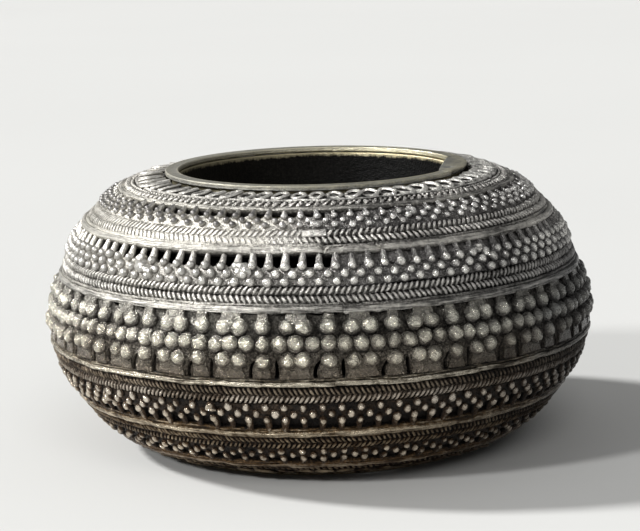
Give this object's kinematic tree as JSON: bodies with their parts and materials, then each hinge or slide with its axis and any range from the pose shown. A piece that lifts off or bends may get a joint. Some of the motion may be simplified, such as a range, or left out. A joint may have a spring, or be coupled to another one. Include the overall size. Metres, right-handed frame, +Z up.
{
  "type": "brass bowl",
  "caption": "Low round cast brass bowl with a flat collar round its mouth and a swelling wall of ridges, twisted threads, wire loops and courses of balls.",
  "frame": {"origin": "centre of the flat underside of the foot ring, on the surface that the bowl stands on", "axes": "+Z up along the bowl's axis, -Y towards the front of the picture, +X towards the lug on the collar"},
  "size_m": [0.1308, 0.1308, 0.0655],
  "materials": {
    "rope_brass": "aged cast brass, satin on the strands, dark between them",
    "ridge_brass": "aged cast brass, worn bright on the crest",
    "ball_brass": "aged cast brass, brown patina round the balls",
    "loop_brass": "aged cast brass, grey patina",
    "belly_brass": "aged cast brass, balls rubbed yellow",
    "collar_brass": "rubbed cast brass, grey with yellow patches",
    "inner_brass": "dark brown patina, rubbed near the mouth"
  },
  "bodies": {
    "root": {"upper_rope": "rope_brass", "shoulder_rope_a": "rope_brass", "shoulder_rope_b": "rope_brass", "belly_rope_a": "rope_brass", "belly_rope_b": "rope_brass", "flank_rope_a": "rope_brass", "flank_rope_b": "rope_brass", "hip_rope_a": "rope_brass", "hip_rope_b": "rope_brass", "lower_rope": "rope_brass", "upper_ridge": "ridge_brass", "shoulder_ridge": "ridge_brass", "upper_belly_ridge": "ridge_brass", "lower_belly_ridge": "ridge_brass", "flank_ridge": "ridge_brass", "hip_ridge": "ridge_brass", "upper_ball_band": "ball_brass", "shoulder_ball_band": "ball_brass", "flank_ball_band": "ball_brass", "hip_ball_band": "ball_brass", "upper_loop_band": "loop_brass", "lower_loop_band": "loop_brass", "belly_band": "belly_brass", "rim_collar": "collar_brass", "rim_lug": "collar_brass", "inner_wall": "inner_brass", "floor_dish": "inner_brass", "foot_ring": "ridge_brass"}
  },
  "joints": []
}
